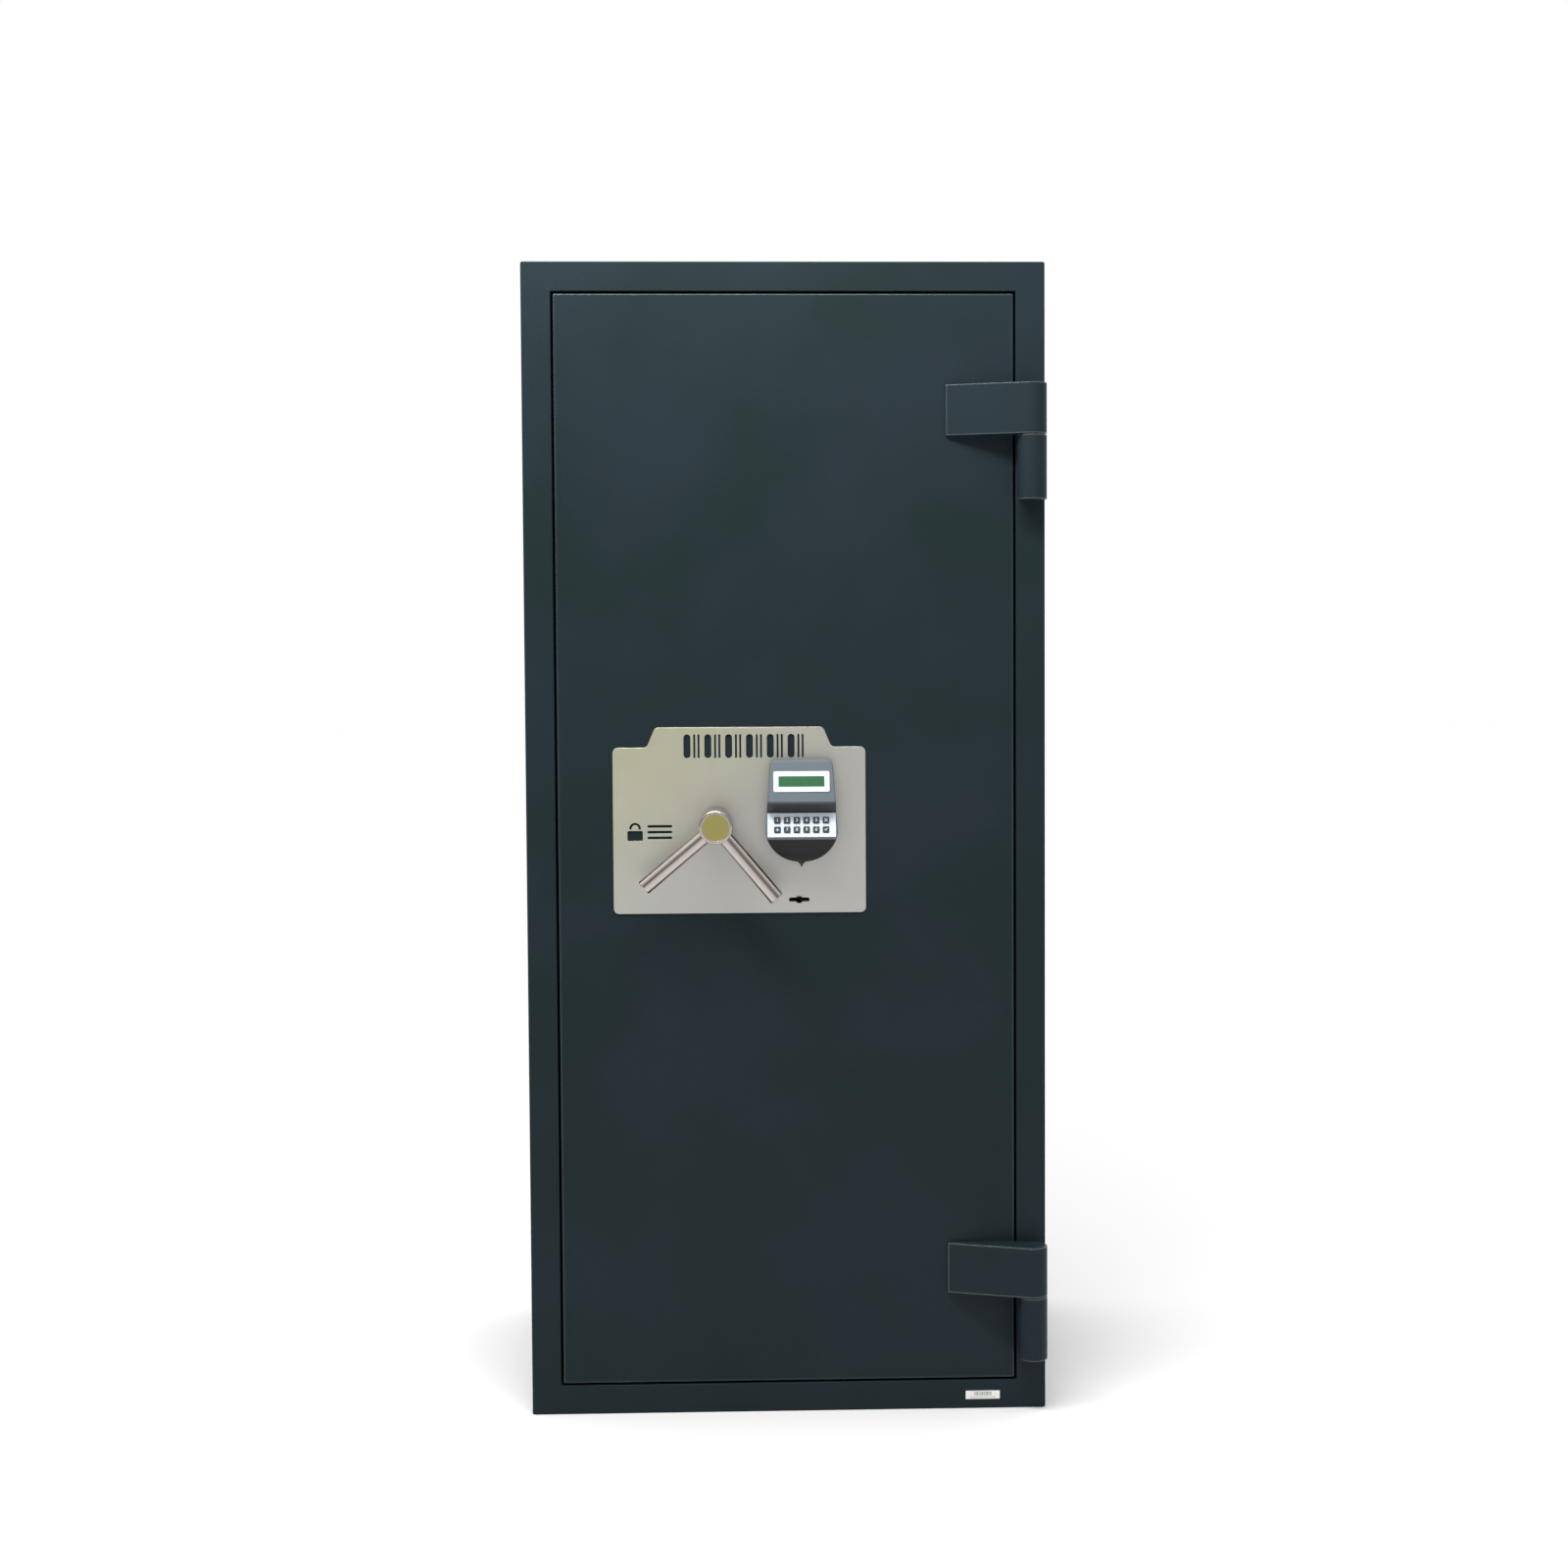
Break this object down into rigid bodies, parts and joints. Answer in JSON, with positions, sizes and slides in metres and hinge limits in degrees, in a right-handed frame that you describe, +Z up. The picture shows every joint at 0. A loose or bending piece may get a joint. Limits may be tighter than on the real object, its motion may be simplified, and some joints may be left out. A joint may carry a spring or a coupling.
{
  "type": "gun safe",
  "caption": "Tall free-standing gun safe with an inset hinged door, keypad and key locks, a turning bar handle, sliding bolts and a fitted interior.",
  "frame": {"origin": "centre of the cabinet footprint at floor level", "axes": "+X to the right seen from the front, +Y from the front to the back, +Z up; the door faces -Y"},
  "size_m": [0.675, 0.566, 1.5],
  "materials": {
    "paint": "satin",
    "dark_paint": "satin",
    "zinc": "satin",
    "steel": "satin",
    "chrome": "polished",
    "gold": "satin",
    "brass": "satin",
    "board": "matte",
    "seal": "matte",
    "mat": "matte",
    "interior": "satin",
    "rack_foam": "matte",
    "label": "satin",
    "sleeve": "matte",
    "slate_plastic": "matte",
    "charcoal_plastic": "matte",
    "white_plastic": "satin",
    "display": "gloss",
    "black_plastic": "matte",
    "key_plastic": "matte",
    "cable": "matte"
  },
  "bodies": {
    "cabinet": {"outer_shell": "paint", "front_frame": "paint", "frame_return": "paint", "door_stop": "paint", "door_seal": "seal", "inner_liner": "interior", "wall_boards": "board", "anchor_sleeves": "sleeve", "floor_mat": "mat", "shelf": "interior", "shelf_rails": "interior", "gun_rack": "rack_foam", "label": "label", "hinge_barrels": "paint", "hinge_pins": "steel", "thrust_washers": "brass"},
    "door": {"hinge_straps": "paint", "door_plate": "paint", "door_pan": "paint", "door_board": "board", "bolt_box": "paint", "back_cover": "interior", "cover_screws": "zinc", "dead_bolts": "zinc", "hard_plate": "steel", "spindle_bush": "brass", "cover_plate": "steel", "lock_cases": "zinc", "keypad_cable": "cable", "keypad_housing": "slate_plastic", "battery_cover": "charcoal_plastic", "key_panel": "white_plastic", "display_bezel": "white_plastic", "display_window": "display", "battery_catch": "black_plastic"},
    "handle": {"handle_hub": "chrome", "hub_disc": "gold", "handle_grips": "chrome", "spindle": "steel", "pinion": "steel"},
    "side_bolt_carriage": {"side_carriage": "zinc", "side_bolts": "zinc"},
    "top_bolt_rod": {"top_rod": "zinc", "top_bolts": "zinc"},
    "bottom_bolt_rod": {"bottom_rod": "zinc", "bottom_bolts": "zinc"},
    "electronic_latch": {"electronic_lock_bolt": "brass"},
    "key_latch": {"key_lock_bolt": "brass"},
    "button_1": {"key_1": "key_plastic"},
    "button_2": {"key_2": "key_plastic"},
    "button_3": {"key_3": "key_plastic"},
    "button_4": {"key_4": "key_plastic"},
    "button_5": {"key_5": "key_plastic"},
    "button_clear": {"key_clear": "key_plastic"},
    "button_6": {"key_6": "key_plastic"},
    "button_7": {"key_7": "key_plastic"},
    "button_8": {"key_8": "key_plastic"},
    "button_9": {"key_9": "key_plastic"},
    "button_0": {"key_0": "key_plastic"},
    "button_enter": {"key_enter": "key_plastic"}
  },
  "joints": [
    {"name": "door_hinge", "type": "hinge", "parent": "cabinet", "child": "door", "pos_m": [0.3185, -0.27, 0.75], "axis": [0, 0, 1], "range_deg": [0, 180]},
    {"name": "handle_turn", "type": "hinge", "parent": "door", "child": "handle", "pos_m": [-0.091, -0.25, 0.775], "axis": [0, 1, 0], "range_deg": [0, 90]},
    {"name": "side_bolts_slide", "type": "slide", "parent": "door", "child": "side_bolt_carriage", "axis": [-1, 0, 0], "range_m": [0, 0.0315]},
    {"name": "top_bolts_slide", "type": "slide", "parent": "door", "child": "top_bolt_rod", "axis": [0, 0, 1], "range_m": [0, 0.0315]},
    {"name": "bottom_bolts_slide", "type": "slide", "parent": "door", "child": "bottom_bolt_rod", "axis": [0, 0, -1], "range_m": [0, 0.0315]},
    {"name": "electronic_latch_slide", "type": "slide", "parent": "door", "child": "electronic_latch", "axis": [-1, 0, 0], "range_m": [0, 0.01]},
    {"name": "key_latch_slide", "type": "slide", "parent": "door", "child": "key_latch", "axis": [-1, 0, 0], "range_m": [0, 0.01]},
    {"name": "button_1_press", "type": "slide", "parent": "door", "child": "button_1", "axis": [0, 0.9487, -0.3162], "range_m": [0, 0.0012], "stiffness_N_per_m": 300, "springref_m": -0.0008},
    {"name": "button_2_press", "type": "slide", "parent": "door", "child": "button_2", "axis": [0, 0.9487, -0.3162], "range_m": [0, 0.0012], "stiffness_N_per_m": 300, "springref_m": -0.0008},
    {"name": "button_3_press", "type": "slide", "parent": "door", "child": "button_3", "axis": [0, 0.9487, -0.3162], "range_m": [0, 0.0012], "stiffness_N_per_m": 300, "springref_m": -0.0008},
    {"name": "button_4_press", "type": "slide", "parent": "door", "child": "button_4", "axis": [0, 0.9487, -0.3162], "range_m": [0, 0.0012], "stiffness_N_per_m": 300, "springref_m": -0.0008},
    {"name": "button_5_press", "type": "slide", "parent": "door", "child": "button_5", "axis": [0, 0.9487, -0.3162], "range_m": [0, 0.0012], "stiffness_N_per_m": 300, "springref_m": -0.0008},
    {"name": "button_clear_press", "type": "slide", "parent": "door", "child": "button_clear", "axis": [0, 0.9487, -0.3162], "range_m": [0, 0.0012], "stiffness_N_per_m": 300, "springref_m": -0.0008},
    {"name": "button_6_press", "type": "slide", "parent": "door", "child": "button_6", "axis": [0, 0.9487, -0.3162], "range_m": [0, 0.0012], "stiffness_N_per_m": 300, "springref_m": -0.0008},
    {"name": "button_7_press", "type": "slide", "parent": "door", "child": "button_7", "axis": [0, 0.9487, -0.3162], "range_m": [0, 0.0012], "stiffness_N_per_m": 300, "springref_m": -0.0008},
    {"name": "button_8_press", "type": "slide", "parent": "door", "child": "button_8", "axis": [0, 0.9487, -0.3162], "range_m": [0, 0.0012], "stiffness_N_per_m": 300, "springref_m": -0.0008},
    {"name": "button_9_press", "type": "slide", "parent": "door", "child": "button_9", "axis": [0, 0.9487, -0.3162], "range_m": [0, 0.0012], "stiffness_N_per_m": 300, "springref_m": -0.0008},
    {"name": "button_0_press", "type": "slide", "parent": "door", "child": "button_0", "axis": [0, 0.9487, -0.3162], "range_m": [0, 0.0012], "stiffness_N_per_m": 300, "springref_m": -0.0008},
    {"name": "button_enter_press", "type": "slide", "parent": "door", "child": "button_enter", "axis": [0, 0.9487, -0.3162], "range_m": [0, 0.0012], "stiffness_N_per_m": 300, "springref_m": -0.0008}
  ],
  "couplings": [
    {"joint": "side_bolts_slide", "follows": "handle_turn", "m_per_rad": 0.02},
    {"joint": "top_bolts_slide", "follows": "handle_turn", "m_per_rad": 0.02},
    {"joint": "bottom_bolts_slide", "follows": "handle_turn", "m_per_rad": 0.02}
  ]
}
